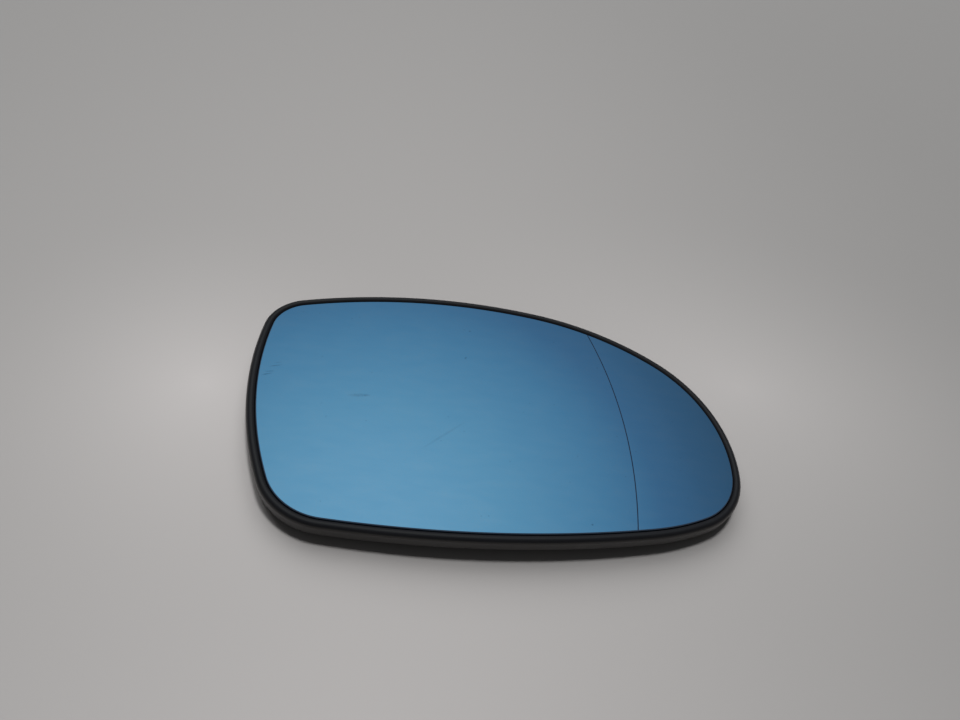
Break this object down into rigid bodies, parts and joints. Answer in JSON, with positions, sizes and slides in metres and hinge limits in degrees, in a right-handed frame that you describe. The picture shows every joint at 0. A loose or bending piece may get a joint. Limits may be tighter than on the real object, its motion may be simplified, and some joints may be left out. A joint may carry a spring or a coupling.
{
  "type": "car door mirror glass",
  "caption": "Convex door mirror glass for the right-hand side, with a tighter outer zone past a fine line, in a moulded carrier with a hooked collar behind.",
  "frame": {"origin": "centre of the end face of the collar on the back, on which the part rests", "axes": "+Z out of the front of the glass, +X towards the outer end, away from the car, +Y up when fitted"},
  "size_m": [0.191, 0.1184, 0.0124],
  "materials": {
    "mirror_coating": "blue-tinted mirror coating on polished glass",
    "heater_film": "printed polyester film with adhesive",
    "black_moulding": "satin black moulded plastic",
    "tinned_brass": "tin-plated brass strip"
  },
  "bodies": {
    "root": {"mirror_glass": "mirror_coating", "heating_foil": "heater_film", "carrier": "black_moulding", "terminal_left": "tinned_brass", "terminal_right": "tinned_brass"}
  },
  "joints": []
}
